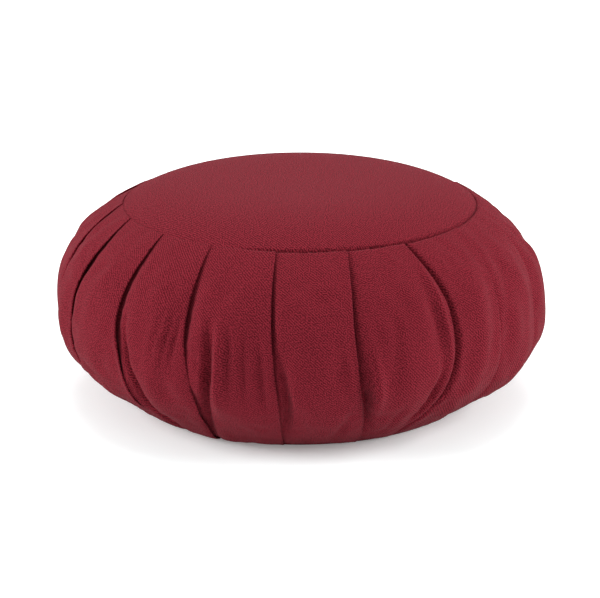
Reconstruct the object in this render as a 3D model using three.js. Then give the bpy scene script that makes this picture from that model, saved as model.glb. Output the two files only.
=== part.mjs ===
// A zafu: a round floor cushion made of two round cloth panels sewn to a knife-pleated side band
// and filled. Millimetres, +Z up. The origin is on the floor under the middle of the cushion, and
// angles round the cushion are counted from its front (-Y), positive towards its right (+X).
import * as THREE from "three";

// Driving sizes
const CUSHION_DIAMETER = 351;
const CROWN_HEIGHT = 150;
const PANEL_RADIUS = 125;
const TOP_SEAM_HEIGHT = 135.5;
const WAIST_HEIGHT = 62;
const BASE_SEAM_RADIUS = 124;
const BASE_SEAM_LIFT = 1;
const BAND_LENGTH = 1210;
const CLOTH = 2;
const PIECE_GAP = 0.35;

// Each round panel is drawn in by this much at its seam, where the band's folded edges lean over it
const SEAM_ROOM = 1.4;

// How the side band leaves its seams and passes the waist: the slope at the top seam, and the
// reach of each Bezier handle along its tangent
const TOP_SEAM_SLOPE = THREE.MathUtils.degToRad(25);
const SHOULDER_REACH = 33;
const WAIST_REACH_UP = 39;
const WAIST_REACH_DOWN = 37.5;
const FLOOR_REACH = 3;

// Every pleat: where its fold edge leaves the top seam, crosses the waist and meets the base seam,
// in degrees, how far it gapes open at the waist, and how far the cloth after it bellies out, in mm
const PLEATS = [
  { top: -165.5, waist: -167.0, base: -163.5, gape: 2.2, belly: 3.0 },
  { top: -146.0, waist: -145.0, base: -147.0, gape: 1.6, belly: 2.4 },
  { top: -127.5, waist: -126.0, base: -124.5, gape: 2.6, belly: 2.8 },
  { top: -108.5, waist: -106.0, base: -105.0, gape: 2.0, belly: 2.2 },
  { top: -86.0, waist: -81.5, base: -83.0, gape: 2.0, belly: 2.0 },
  { top: -67.5, waist: -67.5, base: -65.0, gape: 2.8, belly: 2.6 },
  { top: -46.0, waist: -46.5, base: -43.5, gape: 3.0, belly: 2.4 },
  { top: -27.2, waist: -26.0, base: -23.0, gape: 2.8, belly: 2.2 },
  { top: -7.0, waist: -5.6, base: -4.0, gape: 2.2, belly: 3.0 },
  { top: 13.8, waist: 12.4, base: 17.5, gape: 2.2, belly: 3.0 },
  { top: 32.0, waist: 36.0, base: 33.0, gape: 1.4, belly: 2.6 },
  { top: 56.0, waist: 51.5, base: 53.0, gape: 0.8, belly: 2.2 },
  { top: 75.3, waist: 71.5, base: 73.5, gape: 1.4, belly: 2.6 },
  { top: 95.5, waist: 94.0, base: 92.5, gape: 2.0, belly: 2.8 },
  { top: 115.0, waist: 117.0, base: 113.5, gape: 2.4, belly: 2.4 },
  { top: 134.5, waist: 133.0, base: 136.0, gape: 1.8, belly: 3.0 },
  { top: 154.5, waist: 156.0, base: 153.0, gape: 2.4, belly: 2.6 },
  { top: 174.0, waist: 172.5, base: 176.0, gape: 2.0, belly: 2.4 },
];

// The folded edge of a pleat: its two layers of cloth, the slot that stays open under it at a seam,
// and the least width of cloth that is tucked under
const LIP = 1.8;
const SLOT_AT_SEAM = 0.6;
const LEAST_TUCK = 3;

// Facets
const BAND_ROWS = 15;
const PANEL_SEGMENTS = 54;
const DOME_STEPS = 6;
const ACROSS_PANEL = [0, 0.2, 0.45, 0.7, 0.9, 1];
const FOLD_POINTS = 3;
const COLLAPSED_PITCH = 0.15;

const waistRadius = CUSHION_DIAMETER / 2;

// The side band's line from the top seam out over the shoulder to the waist, and in to the floor
function bandLine() {
  const seam = new THREE.Vector2(PANEL_RADIUS + PIECE_GAP, TOP_SEAM_HEIGHT);
  const leaving = new THREE.Vector2(Math.cos(TOP_SEAM_SLOPE), -Math.sin(TOP_SEAM_SLOPE));
  const waist = new THREE.Vector2(waistRadius, WAIST_HEIGHT);
  const base = new THREE.Vector2(BASE_SEAM_RADIUS + PIECE_GAP, BASE_SEAM_LIFT);
  const line = new THREE.CurvePath();
  line.add(
    new THREE.CubicBezierCurve(
      seam,
      seam.clone().addScaledVector(leaving, SHOULDER_REACH),
      new THREE.Vector2(waistRadius, WAIST_HEIGHT + WAIST_REACH_UP),
      waist,
    ),
  );
  line.add(
    new THREE.CubicBezierCurve(
      waist,
      new THREE.Vector2(waistRadius, WAIST_HEIGHT - WAIST_REACH_DOWN),
      new THREE.Vector2(base.x + FLOOR_REACH, BASE_SEAM_LIFT),
      base,
    ),
  );
  return line;
}

// The dome of the top panel's face: a circular arc from the crown down to the seam
function domeHeight(radius) {
  const rise = CROWN_HEIGHT - TOP_SEAM_HEIGHT;
  const sphere = (PANEL_RADIUS ** 2 + rise ** 2) / (2 * rise);
  return CROWN_HEIGHT - sphere + Math.sqrt(sphere ** 2 - radius ** 2);
}

// A fold edge's angle at a share of the way down the band: a parabola through top, waist and base
function edgeAngle(pleat, share, waistShare) {
  const top = ((share - waistShare) * (share - 1)) / waistShare;
  const waist = (share * (share - 1)) / (waistShare * (waistShare - 1));
  const base = (share * (share - waistShare)) / (1 - waistShare);
  return THREE.MathUtils.degToRad(pleat.top * top + pleat.waist * waist + pleat.base * base);
}

function around(radius, angle, height) {
  return new THREE.Vector3(radius * Math.sin(angle), -radius * Math.cos(angle), height);
}

// One section round the band: along each panel from under one fold edge to its own fold edge, then
// back under it and forward again, because a knife pleat is three layers of the same cloth
function pleatedRing(point, normal, share, waistShare) {
  const ring = [];
  const openness = Math.sin(Math.PI * share);
  PLEATS.forEach((pleat, index) => {
    const next = PLEATS[(index + 1) % PLEATS.length];
    const turn = index + 1 < PLEATS.length ? 0 : 2 * Math.PI;
    const start = edgeAngle(pleat, share, waistShare);
    const end = edgeAngle(next, share, waistShare) + turn;
    const slot = THREE.MathUtils.lerp(SLOT_AT_SEAM, pleat.gape, openness);
    const nextSlot = THREE.MathUtils.lerp(SLOT_AT_SEAM, next.gape, openness);
    const visible = (end - start) * point.x;
    const tuck = Math.max(LEAST_TUCK, (BAND_LENGTH / PLEATS.length - visible) / 2) / point.x;
    const place = (angle, inset) =>
      around(point.x - normal.x * inset, angle, point.y - normal.y * inset);
    for (const across of ACROSS_PANEL) {
      const rise = (1 - across) ** 2 * (LIP + slot);
      const belly = pleat.belly * openness * (1 - Math.sin(Math.PI * across));
      ring.push(place(THREE.MathUtils.lerp(start, end, across), rise + belly));
    }
    const edgeInset = pleat.belly * openness + LIP;
    ring.push(place(end, edgeInset));
    ring.push(place(end - tuck, edgeInset));
    ring.push(place(end - tuck, edgeInset + nextSlot));
  });
  return ring;
}

// The same number of points on a plain circle, with each pleat's own points close together
function plainRing(radius, height, share, waistShare) {
  const ring = [];
  PLEATS.forEach((pleat, index) => {
    const next = PLEATS[(index + 1) % PLEATS.length];
    const turn = index + 1 < PLEATS.length ? 0 : 2 * Math.PI;
    const step = COLLAPSED_PITCH / PANEL_RADIUS;
    const start = edgeAngle(pleat, share, waistShare);
    const end = edgeAngle(next, share, waistShare) + turn - (FOLD_POINTS + 1) * step;
    for (const across of ACROSS_PANEL) {
      ring.push(around(radius, THREE.MathUtils.lerp(start, end, across), height));
    }
    for (let fold = 1; fold <= FOLD_POINTS; fold += 1) {
      ring.push(around(radius, end + fold * step, height));
    }
  });
  return ring;
}

// A closed surface through rings of equal count, ordered from the top down, with a point at each end
function loft(top, rings, bottom) {
  const count = rings[0].length;
  const points = [top, ...rings.flat(), bottom];
  const last = points.length - 1;
  const faces = [];
  for (let i = 0; i < count; i += 1) {
    const j = (i + 1) % count;
    faces.push(0, 1 + i, 1 + j);
    for (let row = 0; row + 1 < rings.length; row += 1) {
      const upper = 1 + row * count;
      const lower = upper + count;
      faces.push(upper + i, lower + i, lower + j);
      faces.push(upper + i, lower + j, upper + j);
    }
    faces.push(last - count + j, last - count + i, last);
  }
  const geometry = new THREE.BufferGeometry().setFromPoints(points);
  geometry.setIndex(faces);
  geometry.computeVertexNormals();
  return geometry;
}

// The filled body: the pleated side band with the filling it holds, and a shallow seat for each
// round panel
function filledBandGeometry() {
  const line = bandLine();
  const lengths = line.getCurveLengths();
  const waistShare = lengths[0] / lengths[1];
  const seat = CLOTH + PIECE_GAP;
  const seatRadius = PANEL_RADIUS - SEAM_ROOM + PIECE_GAP;
  const rings = [];
  for (const radius of [seatRadius / 3, (2 * seatRadius) / 3, seatRadius]) {
    rings.push(plainRing(radius, domeHeight(radius) - seat, 0, waistShare));
  }
  for (let row = 0; row < BAND_ROWS; row += 1) {
    const share = row / (BAND_ROWS - 1);
    const point = line.getPoint(share);
    const tangent = line.getTangent(share);
    const normal = new THREE.Vector2(-tangent.y, tangent.x);
    rings.push(pleatedRing(point, normal, share, waistShare));
  }
  rings.push(plainRing(BASE_SEAM_RADIUS - PIECE_GAP, seat, 1, waistShare));
  const crown = new THREE.Vector3(0, 0, CROWN_HEIGHT - seat);
  const floor = new THREE.Vector3(0, 0, seat);
  return loft(crown, rings, floor);
}

// A round panel turned about its middle from its half section, which starts and ends on the axis
function turned(section) {
  return new THREE.LatheGeometry(section, PANEL_SEGMENTS).rotateX(Math.PI / 2);
}

function topPanelGeometry() {
  const face = [];
  for (let step = 0; step <= DOME_STEPS; step += 1) {
    const radius = ((PANEL_RADIUS - SEAM_ROOM) * step) / DOME_STEPS;
    face.push(new THREE.Vector2(radius, domeHeight(radius)));
  }
  const back = face.map((point) => new THREE.Vector2(point.x, point.y - CLOTH));
  return turned([...back, ...face.reverse()]);
}

function bottomPanelGeometry() {
  const radius = BASE_SEAM_RADIUS - SEAM_ROOM;
  return turned([
    new THREE.Vector2(0, 0),
    new THREE.Vector2(radius, 0),
    new THREE.Vector2(radius, CLOTH),
    new THREE.Vector2(0, CLOTH),
  ]);
}

const cotton = new THREE.MeshStandardMaterial({ color: "#86333d", roughness: 0.92, metalness: 0 });

function piece(name, geometry) {
  const mesh = new THREE.Mesh(geometry, cotton.clone());
  mesh.name = name;
  return mesh;
}

const cushion = new THREE.Group();
cushion.add(
  piece("filled_side_band", filledBandGeometry()),
  piece("top_panel", topPanelGeometry()),
  piece("bottom_panel", bottomPanelGeometry()),
);

export default cushion;
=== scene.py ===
# %% [markdown]
# # A pleated meditation cushion
# A zafu is two round cloth panels, a long side band laid in knife pleats between them, and a loose
# filling that rounds it all out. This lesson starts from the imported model, which fixes where every
# piece is and how big, and makes the cloth over it. Lengths are in metres, and tables of folds are
# in millimetres because a sewer would measure them so.

# %% Load the frame
import math

import bmesh
import bpy
import numpy as np
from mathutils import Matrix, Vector
from mathutils.geometry import interpolate_bezier


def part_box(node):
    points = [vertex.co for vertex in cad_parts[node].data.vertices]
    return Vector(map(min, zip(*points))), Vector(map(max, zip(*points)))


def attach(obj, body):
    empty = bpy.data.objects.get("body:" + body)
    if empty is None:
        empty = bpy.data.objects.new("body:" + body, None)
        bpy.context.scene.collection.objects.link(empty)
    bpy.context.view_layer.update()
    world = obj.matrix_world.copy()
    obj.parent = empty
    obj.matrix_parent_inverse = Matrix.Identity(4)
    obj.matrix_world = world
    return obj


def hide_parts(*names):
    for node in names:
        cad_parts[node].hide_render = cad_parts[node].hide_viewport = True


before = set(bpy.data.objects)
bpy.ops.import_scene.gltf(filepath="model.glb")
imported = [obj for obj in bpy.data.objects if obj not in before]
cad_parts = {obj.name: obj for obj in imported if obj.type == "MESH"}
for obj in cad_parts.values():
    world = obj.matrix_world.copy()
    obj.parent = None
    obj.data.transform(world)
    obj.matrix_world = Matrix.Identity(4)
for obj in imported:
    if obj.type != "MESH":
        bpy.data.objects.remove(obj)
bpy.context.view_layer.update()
MM = 0.001

# %% Sizes read from the frame
band_low, band_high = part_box("filled_side_band")
crown_low, crown_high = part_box("top_panel")
base_low, base_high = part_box("bottom_panel")
SEAM_DRAW = 1.4 * MM
PANEL_EDGE_TO_SEAM = 1.7 * MM
WAIST_RADIUS = (band_high.x - band_low.x) / 2
SEAM_RADIUS = crown_high.y + SEAM_DRAW
SEAM_HEIGHT = crown_low.z + PANEL_EDGE_TO_SEAM
CROWN_RISE = 2.5 * MM
CROWN_HEIGHT = crown_high.z + CROWN_RISE
BASE_RADIUS = base_high.y + SEAM_DRAW
BASE_LIFT = band_low.z
print("waist radius", round(WAIST_RADIUS / MM, 1), "seam radius", round(SEAM_RADIUS / MM, 1),
      "seam height", round(SEAM_HEIGHT / MM, 1))

# %% [markdown]
# ## The camera
# The photograph looks down at the cushion through a long lens, so the round top is a slim ellipse
# and the far side is hardly smaller than the near one. The distance was chosen, and the height
# of the view and the focal length were then found by laying the cushion's outline over the
# photograph. Aiming a little below the middle of the cushion puts it above the middle of the picture,
# with no lens shift.

# %% Camera
PHOTO_WIDTH_PX = 600
FOCAL_LENGTH_PX = 1921.6
SENSOR_WIDTH_MM = 36.0
VIEW_ELEVATION = math.radians(17.5)
VIEW_DISTANCE = 1.379
VIEW_MIDDLE = Vector((0, 0, 0.0795))
VIEW_AIM = Vector((0, 0, 0.0621))

camera_data = bpy.data.cameras.new("photo_camera")
camera_data.sensor_width = SENSOR_WIDTH_MM
camera_data.lens = FOCAL_LENGTH_PX * SENSOR_WIDTH_MM / PHOTO_WIDTH_PX
camera = bpy.data.objects.new("photo_camera", camera_data)
bpy.context.scene.collection.objects.link(camera)
toward_camera = Vector((0, -math.cos(VIEW_ELEVATION), math.sin(VIEW_ELEVATION)))
camera.location = VIEW_MIDDLE + VIEW_DISTANCE * toward_camera
camera.rotation_euler = (VIEW_AIM - camera.location).to_track_quat("-Z", "Y").to_euler()
bpy.context.scene.camera = camera
print("lens", round(camera_data.lens, 1), "mm, camera at", [round(c, 3) for c in camera.location])

# %% [markdown]
# ## Floor and light
# The cushion stands on plain white under broad soft light, so its shadow is a narrow grey rim. A pale
# floor that glows a little, an even white surround and three large soft lamps come close: one lamp on
# either side, which also shows up the folds, and one above. Red light off the cloth would make the
# shadow pink, so the floor holds a little less red. The plain view transform keeps the colours as
# they are mixed.

# %% Floor
FLOOR_SIZE = 60.0
FLOOR_DROP = 0.2 * MM
FLOOR_GLOW = 0.19
FLOOR_COLOUR = (0.89, 0.95, 0.95, 1)

scene = bpy.context.scene
scene.view_settings.view_transform = "Standard"
floor_bmesh = bmesh.new()
bmesh.ops.create_grid(floor_bmesh, x_segments=1, y_segments=1, size=FLOOR_SIZE / 2)
bmesh.ops.translate(floor_bmesh, verts=floor_bmesh.verts, vec=(0, 0, -FLOOR_DROP))
floor_mesh = bpy.data.meshes.new("studio_floor")
floor_bmesh.to_mesh(floor_mesh)
floor_bmesh.free()
floor = bpy.data.objects.new("studio_floor", floor_mesh)
scene.collection.objects.link(floor)

floor_paint = bpy.data.materials.new("pale_floor")
floor_paint.use_nodes = True
floor_shader = floor_paint.node_tree.nodes["Principled BSDF"]
floor_shader.inputs["Base Color"].default_value = FLOOR_COLOUR
floor_shader.inputs["Roughness"].default_value = 0.9
floor_shader.inputs["Specular IOR Level"].default_value = 0.1
floor_shader.inputs["Emission Color"].default_value = (1, 1, 1, 1)
floor_shader.inputs["Emission Strength"].default_value = FLOOR_GLOW
floor_mesh.materials.append(floor_paint)

# %% Light
SURROUND_STRENGTH = 0.58
# name, place (m), size (m), power (W)
LAMPS = [
    ("left_lamp", (-2.2, -0.4, 1.1), 1.5, 62),
    ("right_lamp", (2.2, -0.2, 1.1), 1.5, 62),
    ("top_lamp", (0.0, 0.9, 2.4), 2.0, 36),
]

surround = bpy.data.worlds.new("white_surround")
surround.use_nodes = True
surround.node_tree.nodes["Background"].inputs["Color"].default_value = (1, 1, 1, 1)
surround.node_tree.nodes["Background"].inputs["Strength"].default_value = SURROUND_STRENGTH
scene.world = surround
for name, place, size, power in LAMPS:
    lamp_data = bpy.data.lights.new(name, "AREA")
    lamp_data.shape = "DISK"
    lamp_data.size = size
    lamp_data.energy = power
    lamp = bpy.data.objects.new(name, lamp_data)
    lamp.location = place
    lamp.rotation_euler = (VIEW_MIDDLE - lamp.location).to_track_quat("-Z", "Y").to_euler()
    scene.collection.objects.link(lamp)
print("lit by", [lamp[0] for lamp in LAMPS], "and an even white surround")

# %% [markdown]
# ## The line of the side
# Seen in section, the side band leaves the top seam at a slope, rounds the shoulder, is widest a
# little below half height and draws in like a bowl to the base seam. Two Bezier curves hold that
# line, and the lengths of their short steps are added up, so that a distance down the line is a
# distance down the cloth.

# %% Side line
SEAM_SLOPE = math.radians(25)
SHOULDER_REACH = 33 * MM
WAIST_HEIGHT = 62 * MM
WAIST_REACH_UP = 39 * MM
WAIST_REACH_DOWN = 37.5 * MM
BASE_REACH = 3 * MM
LINE_STEPS = 400
DOME_POWER = 4.3
SLOPE_REACH = 1 * MM

top_seam = Vector((SEAM_RADIUS, 0, SEAM_HEIGHT))
shoulder = top_seam + SHOULDER_REACH * Vector((math.cos(SEAM_SLOPE), 0, -math.sin(SEAM_SLOPE)))
waist = Vector((WAIST_RADIUS, 0, WAIST_HEIGHT))
above_waist = waist + Vector((0, 0, WAIST_REACH_UP))
below_waist = waist - Vector((0, 0, WAIST_REACH_DOWN))
base_seam = Vector((BASE_RADIUS, 0, BASE_LIFT))
beside_base = base_seam + Vector((BASE_REACH, 0, 0))
upper_line = interpolate_bezier(top_seam, shoulder, above_waist, waist, LINE_STEPS)
lower_line = interpolate_bezier(waist, below_waist, beside_base, base_seam, LINE_STEPS)
side_points = np.array([(p.x, p.z) for p in upper_line + lower_line[1:]])
side_steps = np.linalg.norm(np.diff(side_points, axis=0), axis=1)
side_down = np.concatenate([[0], np.cumsum(side_steps)])
BAND_WIDTH = side_down[-1]


def side_at(down):
    """Radius, height and outward direction of the side line at a distance down from the top seam."""
    radius = np.interp(down, side_down, side_points[:, 0])
    height = np.interp(down, side_down, side_points[:, 1])
    ahead = np.clip(down + SLOPE_REACH, 0, BAND_WIDTH)
    behind = np.clip(down - SLOPE_REACH, 0, BAND_WIDTH)
    along_r, along_z = (
        np.interp(ahead, side_down, axis) - np.interp(behind, side_down, axis) for axis in side_points.T
    )
    length = np.hypot(along_r, along_z)
    return radius, height, -along_z / length, along_r / length


def dome_height(radius):
    """Height of the domed top, level in the middle and falling towards its seam."""
    return SEAM_HEIGHT + (CROWN_HEIGHT - SEAM_HEIGHT) * (1 - (radius / SEAM_RADIUS) ** DOME_POWER)


print("the side band is", round(BAND_WIDTH / MM), "mm wide from seam to seam")

# %% [markdown]
# ## The side band, turned
# The band is one long strip of cloth, so it starts as the side line turned once round the middle,
# with an edge turned in at either seam. The columns are shared out so that each pleat gets a run of
# them to fold with, and the rows crowd together near the seams, where the cloth bends most.

# %% Turn the band
PLEAT_COUNT = 18
FACE_COLUMNS = 18
FOLD_COLUMNS = 6
PLEAT_COLUMNS = FACE_COLUMNS + FOLD_COLUMNS
BAND_COLUMNS = PLEAT_COUNT * PLEAT_COLUMNS
OPEN_ROWS = 40
# The rows next to a seam, and how far the edge rows are turned in under it
SEAM_ROWS = np.array([0, 0, 0, 0.5, 1.2, 2.4, 4.4]) * MM
TURN_IN = np.array([3.0, 0.4, 0, 0, 0, 0, 0]) * MM
OPEN_START = 7.2 * MM

open_rows = np.linspace(OPEN_START, BAND_WIDTH - OPEN_START, OPEN_ROWS)
row_down = np.concatenate([SEAM_ROWS, open_rows, BAND_WIDTH - SEAM_ROWS[::-1]])
row_turn = np.concatenate([-TURN_IN, np.zeros(OPEN_ROWS), TURN_IN[::-1]])
row_share = row_down / BAND_WIDTH
row_radius, row_height, out_r, out_z = side_at(row_down)
BAND_ROWS = len(row_down)

band_bmesh = bmesh.new()
row_layer = band_bmesh.verts.layers.int.new("row")
section = list(zip(row_radius, row_height + row_turn))
section_verts = []
for index, (radius, height) in enumerate(section):
    vert = band_bmesh.verts.new((0, -radius, height))
    vert[row_layer] = index
    section_verts.append(vert)
section_edges = [band_bmesh.edges.new(pair) for pair in zip(section_verts, section_verts[1:])]
bmesh.ops.spin(
    band_bmesh, geom=section_verts + section_edges, cent=(0, 0, 0), axis=(0, 0, 1),
    angle=2 * math.pi, steps=BAND_COLUMNS, use_merge=True,
)
bmesh.ops.remove_doubles(band_bmesh, verts=band_bmesh.verts, dist=1e-7)
bmesh.ops.recalc_face_normals(band_bmesh, faces=band_bmesh.faces)
band_mesh = bpy.data.meshes.new("pleated_band")
band_bmesh.to_mesh(band_mesh)
band_bmesh.free()
band = bpy.data.objects.new("pleated_band", band_mesh)
scene.collection.objects.link(band)
print("the turned band has", len(band_mesh.vertices), "points in", BAND_ROWS, "rows")

# %% [markdown]
# ## Knife pleats
# Every pleat is cloth folded back under itself and forward again, so that one flat panel overlaps
# the next. The fold edges aren't quite straight or evenly spaced, because they were laid by hand.
# Each pleat below is a few rows down its edge. A row gives how far down the band it is, its angle
# round from the front, how far the pleat gapes, and how wide the hollow beside it is. The columns
# of the turned band are then moved onto that section: across the face, round the lip, back under
# it and forward again.

# %% Pleat table
# down (mm), angle (degrees), gape (mm), width of the hollow (mm)
PLEATS = [
    [(0, -165.5, 0.4, 3), (50, -166.5, 3.0, 4), (95, -167, 3.5, 5), (130, -165, 1.5, 5),
     (178, -163.5, 0.6, 4)],
    [(0, -146.0, 0.4, 3), (50, -145.0, 1.5, 3), (95, -145, 2.0, 4), (130, -146, 1.2, 5),
     (178, -147.0, 0.6, 4)],
    [(0, -127.5, 0.4, 3), (50, -126.5, 3.5, 4), (95, -126, 4.0, 5), (130, -125, 1.5, 5),
     (178, -124.5, 0.6, 4)],
    [(0, -108.5, 0.4, 3), (50, -106.5, 2.0, 4), (95, -106, 2.5, 4), (130, -106, 1.2, 5),
     (178, -105.0, 0.6, 4)],
    [(0, -85.5, 0.2, 3), (32, -81.0, 1.4, 4), (70, -81, 2.8, 6), (110, -82, 1.6, 5),
     (178, -82.0, 0.6, 4)],
    [(0, -68.0, 0.2, 3), (22, -65.4, 1.0, 3), (50, -66.2, 3.0, 5), (78, -67.5, 4.6, 7),
     (95, -68, 2.0, 6),
     (120, -67, 0.8, 5), (178, -65, 0.6, 4)],
    [(0, -46.8, 0.2, 3), (21, -45.8, 1.4, 4), (50, -46.5, 2.6, 5), (70, -46.2, 3.4, 5.4),
     (88, -44.6, 2.0, 4),
     (110, -42.8, 0.4, 4), (178, -42.0, 0.4, 4)],
    [(0, -27.6, 0.2, 3), (23, -26.9, 1.4, 4), (45, -26.8, 2.6, 5), (61, -26.7, 3.4, 5.4),
     (76, -26.2, 1.4, 4),
     (92, -25.2, 0.1, 3), (106, -24.6, 0.1, 3), (122, -24.0, 2.6, 5), (144, -24.6, 3.0, 5),
     (178, -25.5, 0.6, 4)],
    [(0, -7.3, 0.4, 2), (38, -6.9, 2.6, 3.2), (64, -6.4, 3.4, 3.6), (96, -5.4, 2.6, 4),
     (112, -4.7, 2.6, 4),
     (140, -4.6, 1.2, 5), (178, -5.0, 0.6, 4)],
    [(0, 13.9, 0.4, 2), (23, 12.7, 1.8, 3.2), (48, 12.0, 2.6, 3.2), (64, 11.9, 3.6, 4.4),
     (97, 12.8, 5.4, 6.4),
     (112, 13.9, 4.4, 7), (126, 15.0, 1.2, 5), (178, 17.5, 0.4, 4)],
    [(0, 32.6, 0.8, 3), (20, 34.1, 1.4, 2.6), (51, 36.1, 1.6, 2.6), (86, 36.1, 1.6, 2.6),
     (118, 33.5, 1.8, 2.8),
     (155, 28.5, 2.0, 4), (178, 28.0, 0.8, 4)],
    [(0, 57.0, 0.2, 3), (39, 53.4, 0.1, 3), (85, 51.0, 0.1, 3), (178, 50.0, 0.3, 4)],
    [(0, 75.6, 0.4, 3), (40, 74.6, 1.2, 7), (63, 72.1, 1.8, 9), (90, 69.4, 1.8, 9),
     (178, 69.0, 0.5, 5)],
    [(0, 95.5, 0.4, 3), (50, 94.5, 1.2, 4), (95, 94.0, 2.0, 5), (178, 92.5, 0.6, 4)],
    [(0, 115.0, 0.4, 3), (50, 116.0, 2.8, 4), (95, 117.0, 3.0, 5), (130, 115.5, 1.2, 4),
     (178, 113.5, 0.6, 4)],
    [(0, 134.5, 0.4, 3), (50, 133.5, 1.4, 3), (95, 133.0, 2.2, 4), (178, 136.0, 0.6, 4)],
    [(0, 154.5, 0.4, 3), (50, 155.5, 3.2, 4), (95, 156.0, 3.4, 5), (130, 154.5, 1.4, 4),
     (178, 153.0, 0.6, 4)],
    [(0, 174.0, 0.4, 3), (50, 173.0, 1.2, 3), (95, 172.5, 1.8, 4), (178, 176.0, 0.6, 4)],
]
PATH_SOFTENING = 10


def down_a_path(rows, column, down):
    """A table column at each distance down the band, with its corners rounded off."""
    table = np.array(rows, float)
    fine = np.arange(-40, 240)
    raw = np.interp(fine, table[:, 0], table[:, column])
    window = np.hanning(2 * PATH_SOFTENING + 1)
    soft = np.convolve(np.pad(raw, PATH_SOFTENING, mode="edge"), window / window.sum(), mode="valid")
    return np.interp(down / MM, fine, soft)


print(len(PLEATS), "pleats, their fold edges given in", sum(len(rows) for rows in PLEATS), "rows")

# %% Fold the band into its pleats
LIP = 1.5 * MM
BELLY = 1.6 * MM
SWELL_ROOM = 1.2 * MM
LEAST_TUCK = 5 * MM
HOLLOW_POWER = 2.2
BAND_LENGTH = 1.21
LIP_AT_SEAM = 0.6
LEAST_LIP = 0.3
EVEN_SHARE = 0.25
SEAM_LIFT = 0.9 * MM
BELLY_POWER = 0.8
TURN = 2 * math.pi

edge_angle = np.radians([down_a_path(rows, 1, row_down) for rows in PLEATS])
edge_angle = np.vstack([edge_angle, edge_angle[:1] + TURN])
edge_gape = np.array([down_a_path(rows, 2, row_down) for rows in PLEATS]) * MM
edge_gape = np.vstack([edge_gape, edge_gape[:1]])
edge_hollow = np.array([down_a_path(rows, 3, row_down) for rows in PLEATS]) * MM
openness = np.sin(np.pi * row_share)
belly = BELLY * openness
lip = LIP * (LIP_AT_SEAM + (1 - LIP_AT_SEAM) * openness)
lip = lip * np.clip(LEAST_LIP + (1 - LEAST_LIP) * edge_gape / MM, LEAST_LIP, 1)

even = np.linspace(0, 1, FACE_COLUMNS)
across_face = EVEN_SHARE * even + (1 - EVEN_SHARE) * (0.5 - 0.5 * np.cos(np.pi * even))
grid_angle = np.zeros((BAND_ROWS, BAND_COLUMNS))
grid_inset = np.zeros((BAND_ROWS, BAND_COLUMNS))
grid_cloth = np.zeros((BAND_ROWS, BAND_COLUMNS))
cloth_per_pleat = BAND_LENGTH / PLEAT_COUNT
for pleat in range(PLEAT_COUNT):
    left = edge_angle[pleat]
    right = edge_angle[pleat + 1]
    visible = (right - left) * row_radius
    tuck = np.maximum(LEAST_TUCK, (cloth_per_pleat - visible) / 2)
    first = pleat * PLEAT_COLUMNS
    lift = SEAM_LIFT * (1 - openness)
    lip_inset = belly - lift
    start_inset = lip_inset + lip[pleat] + edge_gape[pleat]
    next_lip = lip[pleat + 1]
    next_inset = lip_inset + next_lip + edge_gape[pleat + 1]
    for column, share in enumerate(across_face):
        crown = belly * (1 - np.sin(np.pi * share) ** BELLY_POWER) - lift * share
        sunk = np.exp(-((share * visible / edge_hollow[pleat]) ** HOLLOW_POWER))
        grid_angle[:, first + column] = left + (right - left) * share
        grid_inset[:, first + column] = crown + (start_inset - belly) * sunk
        grid_cloth[:, first + column] = pleat * cloth_per_pleat + (share - 0.5) * visible
    # Back from the fold edge, in from the side line, and the share of the tuck used so far
    fold = [
        (0.5 * MM / row_radius, lip_inset + 0.55 * next_lip, 0.0),
        (0 * row_radius, lip_inset + next_lip, 0.02),
        (-0.5 * tuck / row_radius, lip_inset + next_lip, 0.25),
        (-tuck / row_radius, lip_inset + next_lip, 0.48),
        (-tuck / row_radius, next_inset, 0.52),
        (-0.5 * tuck / row_radius, next_inset, 0.75),
    ]
    for column, (back, inset, used) in enumerate(fold):
        grid_angle[:, first + FACE_COLUMNS + column] = right + back
        grid_inset[:, first + FACE_COLUMNS + column] = inset
        grid_cloth[:, first + FACE_COLUMNS + column] = (
            pleat * cloth_per_pleat + 0.5 * visible + used * 2 * tuck
        )
grid_inset += (SWELL_ROOM * openness)[:, None]
grid_radius = row_radius[:, None] - out_r[:, None] * grid_inset
grid_height = (row_height + row_turn)[:, None] - out_z[:, None] * grid_inset
print("the last pleat is tucked", round(tuck.min() / MM, 1), "to", round(tuck.max() / MM, 1), "mm deep")

# %% Move the turned points onto the pleats
def mesh_points(mesh):
    """The places of a mesh's points, one row each."""
    places = np.empty(len(mesh.vertices) * 3)
    mesh.vertices.foreach_get("co", places)
    return places.reshape(-1, 3)


def corner_points(mesh):
    """Which point each face corner stands on."""
    corners = np.empty(len(mesh.loops), np.int32)
    mesh.loops.foreach_get("vertex_index", corners)
    return corners


points = mesh_points(band_mesh)
row_of = np.empty(len(points), np.int32)
band_mesh.attributes["row"].data.foreach_get("value", row_of)
spun_angle = np.arctan2(points[:, 0], -points[:, 1])
start_angle = np.mean([edge_angle[k, 0] - k * TURN / PLEAT_COUNT for k in range(PLEAT_COUNT)])
column_of = np.round(spun_angle / TURN * BAND_COLUMNS).astype(int)
first_column = int(round(start_angle / TURN * BAND_COLUMNS))
column_of = (column_of - first_column) % BAND_COLUMNS
place = (row_of, column_of)
points[:, 0] = grid_radius[place] * np.sin(grid_angle[place])
points[:, 1] = -grid_radius[place] * np.cos(grid_angle[place])
points[:, 2] = grid_height[place]
band_mesh.vertices.foreach_set("co", points.ravel())

cloth_across = grid_cloth[place]
cloth_up = -row_down[row_of]
corner_vert = corner_points(band_mesh)
cloth_map = band_mesh.uv_layers.new(name="cloth")
cloth_uv = np.stack([cloth_across[corner_vert], cloth_up[corner_vert]], 1)
cloth_map.data.foreach_set("uv", cloth_uv.ravel())
band_mesh.update()
print("folded", len(points), "points")
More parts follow.
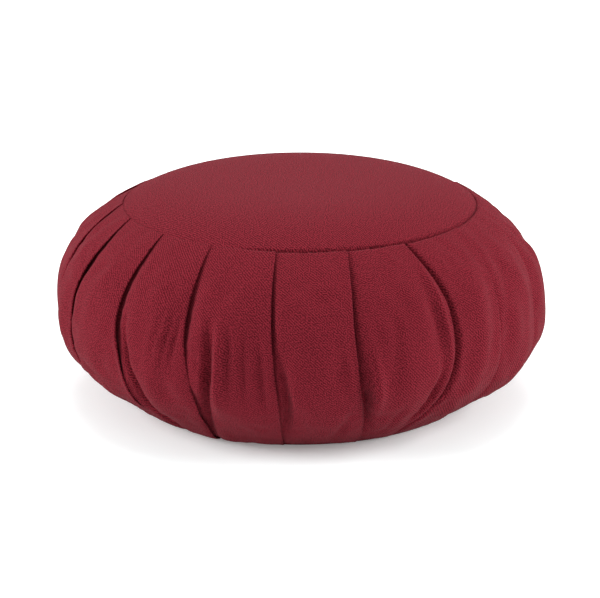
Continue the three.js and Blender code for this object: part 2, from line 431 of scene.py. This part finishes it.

# %% [markdown]
# ## The filling pushes the faces out
# The loose filling presses each flat face outwards while its fold edges and seams hold it, so the
# cloth bellies and ruckles a little on its own. A short cloth simulation does that: the cloth is
# given a touch of slack and an even pressure, the folds and seams are pinned, and gravity is off
# because the floor carries the filling. How far a point may move is capped, and the result is kept
# as the band's new shape. The result isn't quite the same in every run: most points agree to a few
# hundredths of a millimetre, and the worst ones differ by over a millimetre.

# %% Swell the faces
SWELL_FRAMES = 20
SWELL_PRESSURE = 4.0
SWELL_SLACK = 0.025
SWELL_CAP = 3 * MM
CLOTH_MASS = 0.3
CLOTH_BENDING = 0.4
PIN_STEPS = 20

in_pleat = column_of % PLEAT_COLUMNS
face_share = across_face[np.minimum(in_pleat, FACE_COLUMNS - 1)]
freedom = np.sin(np.pi * face_share) * np.sin(np.pi * row_share[row_of])
freedom = np.where(in_pleat < FACE_COLUMNS, np.sqrt(np.maximum(freedom, 0)), 0)
pin_level = np.round((1 - freedom) * PIN_STEPS).astype(int)
pins = band.vertex_groups.new(name="pins")
for level in range(1, PIN_STEPS + 1):
    pins.add(np.nonzero(pin_level == level)[0].tolist(), level / PIN_STEPS, "REPLACE")
swell = band.modifiers.new("swell", "CLOTH")
swell.settings.vertex_group_mass = "pins"
swell.settings.use_pressure = True
swell.settings.uniform_pressure_force = SWELL_PRESSURE
swell.settings.shrink_min = -SWELL_SLACK
swell.settings.mass = CLOTH_MASS
swell.settings.bending_stiffness = CLOTH_BENDING
swell.settings.effector_weights.gravity = 0
swell.collision_settings.use_collision = False
swell.point_cache.frame_end = SWELL_FRAMES
for frame_number in range(1, SWELL_FRAMES + 1):
    scene.frame_set(frame_number)
swollen = band.evaluated_get(bpy.context.evaluated_depsgraph_get()).data
moved = mesh_points(swollen) - points
reach = np.linalg.norm(moved, axis=1)
print("before the cap, the filling moved the faces up to", round(reach.max() / MM, 2), "mm,",
      round(reach[freedom > 0.5].mean() / MM, 2), "mm on average")
moved *= (SWELL_CAP * np.tanh(reach / SWELL_CAP) / np.maximum(reach, 1e-9))[:, None]
band.modifiers.remove(swell)
scene.frame_set(1)
band_mesh.vertices.foreach_set("co", (points + moved).ravel())
band_mesh.update()

# %% Round the folds off and close the body
FILL_DROP = 3 * MM
LID_RINGS = (0.8, 0.5, 0.2)

band_smooth = band.modifiers.new("soft_cloth", "SUBSURF")
band_smooth.levels = 1
band_smooth.render_levels = 1
depsgraph = bpy.context.evaluated_depsgraph_get()
fine_mesh = bpy.data.meshes.new_from_object(band.evaluated_get(depsgraph))
band.modifiers.clear()
band.data = fine_mesh
bpy.data.meshes.remove(band_mesh)
fine_mesh.name = "pleated_band"
closing = bmesh.new()
closing.from_mesh(fine_mesh)
rims = [edge for edge in closing.edges if edge.is_boundary]
rim = [edge for edge in rims if edge.verts[0].co.z > WAIST_HEIGHT]
reached = 1.0
for share in LID_RINGS:
    grown = bmesh.ops.extrude_edge_only(closing, edges=rim)["geom"]
    ring = [part for part in grown if isinstance(part, bmesh.types.BMVert)]
    bmesh.ops.scale(closing, vec=(share / reached, share / reached, 1), verts=ring)
    for vert in ring:
        vert.co.z = dome_height(share * SEAM_RADIUS) - FILL_DROP
    rim = [part for part in grown if isinstance(part, bmesh.types.BMEdge) and part.is_boundary]
    reached = share
rims = [edge for edge in closing.edges if edge.is_boundary]
lids = bmesh.ops.holes_fill(closing, edges=rims, sides=0)["faces"]
bmesh.ops.poke(closing, faces=lids)
bmesh.ops.recalc_face_normals(closing, faces=closing.faces)
closing.to_mesh(fine_mesh)
closing.free()
fine_mesh.shade_smooth()
print("the soft band has", len(fine_mesh.polygons), "faces")

# %% [markdown]
# ## Folds listed one by one
# Where the filling doesn't stretch the band, the cloth falls into soft folds, most of them upright
# and in the lower half. Each is a path down the band with a height at every point of it, positive
# for a ridge and negative for a trough, and a width on either side. A narrow left side and a broad
# right one make a trough look like cloth tucked under its neighbour. The back can't be seen in the
# photograph, so it gets the same folds again, half a turn round and shallower.

# %% Fold table
# width to the left and right (mm), then rows of down (mm), angle (degrees), height (mm)
FOLDS = [
    (2.4, 3.6, [(56, -42.6, 0), (72, -43.2, -3.6), (91, -42.0, -5.6), (111, -39.8, -6.4),
                (131, -39.8, -6.0),
                (155, -36.6, -4.0), (176, -36.0, -1)]),
    (3.0, 2.0, [(60, -45.6, 0), (82, -45.4, 1.2), (100, -43.2, 2.0), (131, -42.6, 2.0), (160, -39, 0)]),
    (2.6, 3.0, [(54, -20.2, 0), (76, -20.0, -6.0), (95, -20.4, -9.0), (110, -21.2, -9.5),
                (122, -22.0, -7.5),
                (145, -23.4, -3), (170, -25, 0)]),
    (2.4, 4.5, [(48, -18.2, 0), (68, -17.8, 3.8), (84, -17.6, 5.2), (99, -18.0, 4.6), (125, -18.6, 0)]),
    (1.8, 2.0, [(58, -15.5, 0), (72, -15.5, -2.4), (90, -15.8, -2.7), (112, -16.0, 0)]),
    (2.0, 2.4, [(56, -12.3, 0), (72, -12.4, -2.7), (92, -12.1, -3.0), (118, -12.0, 0)]),
    (2.4, 2.4, [(64, -8.9, 0), (82, -8.7, -2.6), (101, -8.2, -3.0), (120, -7.4, 0)]),
    (2.4, 3.4, [(72, -4.6, 0), (92, -3.6, -4.5), (110, -2.9, -7.0), (126, -3.0, -5.0), (150, -4.0, 0)]),
    (1.7, 1.7, [(54, -31.9, 0), (65, -32.2, -2.8), (76, -33.5, -3.0), (94, -33.9, 0)]),
    (1.7, 1.7, [(54, -29.6, 0), (65, -29.9, -2.8), (75, -30.8, -3.1), (96, -31.6, 0)]),
    (1.7, 1.7, [(58, -28.0, 0), (69, -28.2, -2.6), (78, -28.8, -2.8), (94, -29.2, 0)]),
    (2.2, 4.0, [(66, 15.6, 0), (84, 16.2, 3.8), (97, 16.6, 5.2), (112, 17.0, 4.4), (126, 16.2, 0)]),
    (2.4, 3.0, [(98, 14.6, 0), (112, 14.8, -4.6), (126, 15.6, -6.0), (152, 17.0, 0)]),
    (4.0, 2.0, [(55, 9.4, 0), (78, 10.4, 1.6), (92, 11.1, 2.2), (107, 12.4, 1.8), (122, 13.4, 0)]),
    (2.4, 1.8, [(20, 33.0, 0), (44, 33.8, 2.2), (59, 34.1, 2.4), (74, 34.5, 2.0), (88, 35.0, 0.9),
                (104, 34, 0)]),
    (4.0, 1.8, [(16, 31.8, 0), (47, 31.3, -1.4), (63, 32.0, -1.9), (78, 32.5, -1.5), (96, 32.5, 0)]),
    (2.4, 2.4, [(86, 33.2, 0), (108, 31.9, -4.4), (123, 30.4, -4.8), (148, 27.6, 0)]),
    (4.0, 4.0, [(46, 21.6, 0), (63, 21.6, -2.2), (78, 21.0, -2.2), (104, 20.5, 0)]),
    (5.0, 5.0, [(45, 56.6, 0), (61, 56.0, -0.9), (82, 53.9, -1.0), (97, 51.8, -0.9), (130, 50, 0)]),
    (3.0, 3.0, [(118, 12.4, 0), (138, 10.1, -2.6), (162, 9.0, 0)]),
    (1.3, 1.6, [(0, 33.3, -1.5), (20, 34.9, -3.2), (51, 36.95, -3.8), (86, 36.95, -3.8),
                (118, 34.35, -3.4),
                (150, 29.9, -2.4), (176, 29.0, 0)]),
    (3.0, 3.0, [(110, 24.6, 0), (132, 23.0, -2.2), (160, 21.0, 0)]),
    (3.0, 3.0, [(104, -55.0, 0), (126, -53.0, -2.2), (160, -50.0, 0)]),
]
BACK_FOLDS = 0.7


def fold_height(angle, down, radius):
    """How far the listed folds lift the cloth at each point, in metres."""
    height = np.zeros_like(angle)
    for left_width, right_width, rows in FOLDS:
        middle = np.radians(down_a_path(rows, 1, down))
        rise = down_a_path(rows, 2, down) * MM
        for half_turn, share in ((0, 1), (math.pi, BACK_FOLDS)):
            offset = (angle - middle - half_turn + math.pi) % TURN - math.pi
            aside = offset * radius / MM
            width = np.where(aside < 0, left_width, right_width)
            height += share * rise * np.exp(-((aside / width) ** 2))
    return height


print(len(FOLDS), "folds placed by hand")

# %% Lumps, unevenness and the seam groove
# down (mm), angle (degrees), height (mm), reach down the band (mm), reach round it (degrees)
LUMPS = [
    (125, 70, 3.0, 25, 18),
    (160, 47, -5.5, 14, 13),
    (158, -54, -4.5, 14, 12),
    (170, -22, 4.5, 12, 14),
    (28, -106, 2.0, 20, 20),
    (28, 104, -2.0, 20, 20),
]
UNEVEN_WAVES = 12
UNEVEN_HEIGHT = 0.16 * MM
# angle (degrees), depth of the groove at the top seam (mm)
SEAM_GROOVE = [
    (-180, 1.4), (-120, 1.0), (-100, 0.1), (-18, 0.1), (-11, 2.4),
    (0, 3.4), (35, 3.4), (70, 2.4), (100, 1.4), (180, 1.4),
]
GROOVE_WIDTH = 0.9 * MM
DEEPEST_GROOVE = max(depth for _, depth in SEAM_GROOVE)


def lump_height(angle, down):
    """Where the loose filling pushes the band out or leaves it slack, in metres."""
    height = np.zeros_like(angle)
    for at_down, at_angle, rise, reach_down, reach_round in LUMPS:
        aside = (np.degrees(angle) - at_angle + 180) % 360 - 180
        away = ((down / MM - at_down) / reach_down) ** 2 + (aside / reach_round) ** 2
        height += rise * MM * np.exp(-away)
    chance = np.random.default_rng(11)
    for turns in chance.integers(16, 60, UNEVEN_WAVES):
        climb = chance.uniform(-120, 120)
        height += UNEVEN_HEIGHT * np.sin(turns * angle + climb * down + chance.uniform(0, TURN))
    return height


def groove_depth(angle, aside):
    """How far the cloth dips into the top seam, at a distance aside from it."""
    table = np.array(SEAM_GROOVE)
    deep = np.interp(np.degrees(angle), table[:, 0], table[:, 1]) * MM
    return deep * np.exp(-((aside / GROOVE_WIDTH) ** 2))


print(len(LUMPS), "lumps and", UNEVEN_WAVES, "slow waves")

# %% Lay the folds into the band
BATCHES = 40
LINE_SKIP = 4
LID_MARGIN = 1 * MM
TOP_LID_DEPTH = 10 * MM
BASE_LID_HEIGHT = 8 * MM
FLOOR_CLEARANCE = 0.3 * MM

points = mesh_points(fine_mesh)
radius = np.hypot(points[:, 0], points[:, 1])
angle = np.arctan2(points[:, 0], -points[:, 1])
nearest = np.zeros(len(points), int)
for part in np.array_split(np.arange(len(points)), BATCHES):
    away = (radius[part, None] - side_points[None, ::LINE_SKIP, 0]) ** 2
    away += (points[part, 2][:, None] - side_points[None, ::LINE_SKIP, 1]) ** 2
    nearest[part] = away.argmin(1) * LINE_SKIP
down = side_down[nearest]
_, _, lean_r, lean_z = side_at(down)
on_lid = (points[:, 2] > SEAM_HEIGHT - TOP_LID_DEPTH) | (points[:, 2] < BASE_LID_HEIGHT)
inside = (radius < SEAM_RADIUS - LID_MARGIN) & on_lid
height = fold_height(angle, down, radius)
height += lump_height(angle, down) * np.sin(np.pi * down / BAND_WIDTH) ** 0.5
height -= groove_depth(angle, down)
height = np.where(inside, 0, height)
points[:, 0] += height * lean_r * np.sin(angle)
points[:, 1] -= height * lean_r * np.cos(angle)
points[:, 2] = np.maximum(points[:, 2] + height * lean_z, FLOOR_CLEARANCE)
fine_mesh.vertices.foreach_set("co", points.ravel())
fine_mesh.update()
print("folds reach from", round(height.min() / MM, 1), "to", round(height.max() / MM, 1), "mm")

# %% [markdown]
# ## The round panels
# The top panel is a disc of the same cloth, domed by the filling and drawn down at its seam. It is
# a dome line turned about the middle, with a short edge turned down into the seam. How deep that
# edge dips is also kept as an attribute that sets how much shade is painted into the seam, where
# the groove's shadow falls. The bottom panel is a like disc pressed flat by the floor.

# %% Turn the round panels
PANEL_COLUMNS = 216
PANEL_RINGS = 44
PANEL_CLOTH = 1.2 * MM
BASE_RINGS = 12
EDGE_OVERLAP = 0.1 * MM
EDGE_ZONE = 5 * MM
EDGE_STEPS = np.array([3.5, 2.2, 1.2, 0.5, 0]) * MM
EDGE_DROPS = (0.5 * MM, 2.5 * MM)
BASE_EDGE_GAP = 0.4 * MM
BASE_EDGE_HEIGHT = 2 * MM


def turn_panel(name, section):
    """A round panel turned from its half section, with a cloth map in metres."""
    panel_bmesh = bmesh.new()
    verts = [panel_bmesh.verts.new((0, -radius, height)) for radius, height in section]
    edges = [panel_bmesh.edges.new(pair) for pair in zip(verts, verts[1:])]
    bmesh.ops.spin(
        panel_bmesh, geom=verts + edges, cent=(0, 0, 0), axis=(0, 0, 1),
        angle=2 * math.pi, steps=PANEL_COLUMNS, use_merge=True,
    )
    bmesh.ops.remove_doubles(panel_bmesh, verts=panel_bmesh.verts, dist=1e-7)
    bmesh.ops.recalc_face_normals(panel_bmesh, faces=panel_bmesh.faces)
    mesh = bpy.data.meshes.new(name)
    panel_bmesh.to_mesh(mesh)
    panel_bmesh.free()
    mesh.shade_smooth()
    flat_places = mesh_points(mesh)[corner_points(mesh), :2]
    mesh.uv_layers.new(name="cloth").data.foreach_set("uv", flat_places.ravel())
    panel = bpy.data.objects.new(name, mesh)
    scene.collection.objects.link(panel)
    return panel


edge_radius = SEAM_RADIUS + EDGE_OVERLAP
even_rings = np.linspace(0, edge_radius - EDGE_ZONE, PANEL_RINGS)
ring_radius = np.concatenate([even_rings, edge_radius - EDGE_STEPS])
dome_section = [(radius, dome_height(radius)) for radius in ring_radius]
dome_section += [(edge_radius, SEAM_HEIGHT - drop) for drop in EDGE_DROPS]
crown_panel = turn_panel("crown_panel", dome_section)
base_edge = BASE_RADIUS - BASE_EDGE_GAP
base_section = [(base_edge * ring / BASE_RINGS, 0) for ring in range(BASE_RINGS + 1)]
base_section.append((base_edge, BASE_EDGE_HEIGHT))
base_panel = turn_panel("base_panel", base_section)

# %% Dip the top panel into its seam
crown_points = mesh_points(crown_panel.data)
crown_angle = np.arctan2(crown_points[:, 0], -crown_points[:, 1])
from_edge = edge_radius - np.hypot(crown_points[:, 0], crown_points[:, 1])
dip = groove_depth(crown_angle, from_edge)
crown_points[:, 2] -= dip
crown_panel.data.vertices.foreach_set("co", crown_points.ravel())
# The seam's dip also sets how much shade is painted into the seam, where the groove's shadow falls
painted_seam_shade = dip / (DEEPEST_GROOVE * MM)
crown_panel.data.attributes.new("painted_seam_shade", "FLOAT", "POINT").data.foreach_set("value", painted_seam_shade)
for panel in (crown_panel, base_panel):
    thick = panel.modifiers.new("cloth_thickness", "SOLIDIFY")
    thick.thickness = PANEL_CLOTH
    thick.offset = -1
print("panels", crown_panel.name, "and", base_panel.name)

# %% [markdown]
# ## The cotton
# The cover is burgundy cotton: slanting ribs, an uneven grain, and a faint bloom of loose fibre that
# turns pale where the cloth is seen edge-on. The weave is a shader group that reads each piece's own
# cloth map in metres, so its ribs have one size on every piece and follow the cloth round the folds.
# The ribs are wider than a real twill's, because finer ones lost their contrast at the size of the
# photograph. The seam's dip attribute mixes painted shade into the colour along the top seam, where
# the groove's shadow falls.

# %% Weave group
RIB_PITCH = 2.1 * MM
RIB_CONTRAST = 0.4
GRAIN_SCALE = 2.8
GRAIN_CONTRAST = 4.0
MIDDLE_TONE = 0.5


def make_weave_group():
    """A group that turns a cloth map into a thread colour and a height."""
    group = bpy.data.node_groups.new("twill_weave", "ShaderNodeTree")
    group.interface.new_socket("Cloth", in_out="INPUT", socket_type="NodeSocketVector")
    group.interface.new_socket("Rib Pitch", in_out="INPUT", socket_type="NodeSocketFloat")
    group.interface.new_socket("Dark Thread", in_out="INPUT", socket_type="NodeSocketColor")
    group.interface.new_socket("Light Thread", in_out="INPUT", socket_type="NodeSocketColor")
    group.interface.new_socket("Color", in_out="OUTPUT", socket_type="NodeSocketColor")
    group.interface.new_socket("Height", in_out="OUTPUT", socket_type="NodeSocketFloat")
    nodes = group.nodes
    links = group.links
    inputs = nodes.new("NodeGroupInput")
    outputs = nodes.new("NodeGroupOutput")

    def math_node(operation, first, second=None):
        node = nodes.new("ShaderNodeMath")
        node.operation = operation
        for socket, value in zip(node.inputs, (first, second)):
            if value is None:
                continue
            if isinstance(value, (int, float)):
                socket.default_value = value
            else:
                links.new(value, socket)
        return node.outputs[0]

    split = nodes.new("ShaderNodeSeparateXYZ")
    links.new(inputs.outputs["Cloth"], split.inputs[0])
    across = math_node("DIVIDE", split.outputs["X"], inputs.outputs["Rib Pitch"])
    along = math_node("DIVIDE", split.outputs["Y"], inputs.outputs["Rib Pitch"])
    slant = math_node("ADD", across, along)
    rib = math_node("SINE", math_node("MULTIPLY", slant, TURN))
    grain = nodes.new("ShaderNodeTexNoise")
    grain.noise_dimensions = "2D"
    grain.inputs["Scale"].default_value = GRAIN_SCALE
    grain.inputs["Detail"].default_value = 1
    spread = nodes.new("ShaderNodeCombineXYZ")
    links.new(across, spread.inputs[0])
    links.new(along, spread.inputs[1])
    links.new(spread.outputs[0], grain.inputs["Vector"])
    uneven = math_node("SUBTRACT", grain.outputs["Fac"], MIDDLE_TONE)
    fleck = math_node("MULTIPLY", uneven, GRAIN_CONTRAST)
    ribbed = math_node("MULTIPLY", rib, RIB_CONTRAST)
    tone = math_node("ADD", ribbed, math_node("ADD", fleck, MIDDLE_TONE))
    blend = nodes.new("ShaderNodeMix")
    blend.data_type = "RGBA"
    links.new(tone, blend.inputs[0])
    links.new(inputs.outputs["Dark Thread"], blend.inputs[6])
    links.new(inputs.outputs["Light Thread"], blend.inputs[7])
    links.new(blend.outputs[2], outputs.inputs["Color"])
    links.new(tone, outputs.inputs["Height"])
    return group


weave_group = make_weave_group()
print("weave group", weave_group.name, "with ribs", RIB_PITCH / MM, "mm apart")

# %% Cotton material
# Painted shade for the top seam, where the groove's shadow falls
PAINTED_SEAM_SHADE_COLOUR = (0.02, 0.0008, 0.002, 1)
DARK_THREAD = (0.052, 0.0042, 0.0072, 1)
LIGHT_THREAD = (0.214, 0.0164, 0.0275, 1)
FIBRE_TINT = (1.0, 0.86, 0.88, 1)

cotton = bpy.data.materials.new("burgundy_cotton")
cotton.use_nodes = True
tree = cotton.node_tree
shader = tree.nodes["Principled BSDF"]
cloth_place = tree.nodes.new("ShaderNodeUVMap")
cloth_place.uv_map = "cloth"
weave = tree.nodes.new("ShaderNodeGroup")
weave.node_tree = weave_group
weave.inputs["Rib Pitch"].default_value = RIB_PITCH
weave.inputs["Dark Thread"].default_value = DARK_THREAD
weave.inputs["Light Thread"].default_value = LIGHT_THREAD
tree.links.new(cloth_place.outputs["UV"], weave.inputs["Cloth"])
# Mix painted shade into the cotton along the top seam, as deep as the seam dips
painted_shade_mask = tree.nodes.new("ShaderNodeAttribute")
painted_shade_mask.attribute_name = "painted_seam_shade"
painted_seam_shade_mix = tree.nodes.new("ShaderNodeMix")
painted_seam_shade_mix.data_type = "RGBA"
tree.links.new(painted_shade_mask.outputs["Fac"], painted_seam_shade_mix.inputs[0])
tree.links.new(weave.outputs["Color"], painted_seam_shade_mix.inputs[6])
painted_seam_shade_mix.inputs[7].default_value = PAINTED_SEAM_SHADE_COLOUR
tree.links.new(painted_seam_shade_mix.outputs[2], shader.inputs["Base Color"])
relief = tree.nodes.new("ShaderNodeBump")
relief.inputs["Strength"].default_value = 0.5
relief.inputs["Distance"].default_value = 0.25 * MM
tree.links.new(weave.outputs["Height"], relief.inputs["Height"])
tree.links.new(relief.outputs["Normal"], shader.inputs["Normal"])
shader.inputs["Roughness"].default_value = 0.9
shader.inputs["Specular IOR Level"].default_value = 0.03
shader.inputs["Sheen Weight"].default_value = 0.03
shader.inputs["Sheen Roughness"].default_value = 0.4
shader.inputs["Sheen Tint"].default_value = FIBRE_TINT
for piece in (band, crown_panel, base_panel):
    piece.data.materials.append(cotton)
print("cotton on three pieces")

# %% [markdown]
# ## Put the pieces on the body
# Every piece rides on the one body, and the solid that it covers is hidden.

for piece, node in ((band, "filled_side_band"), (crown_panel, "top_panel"),
                (base_panel, "bottom_panel")):
    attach(piece, "root")
    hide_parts(node)
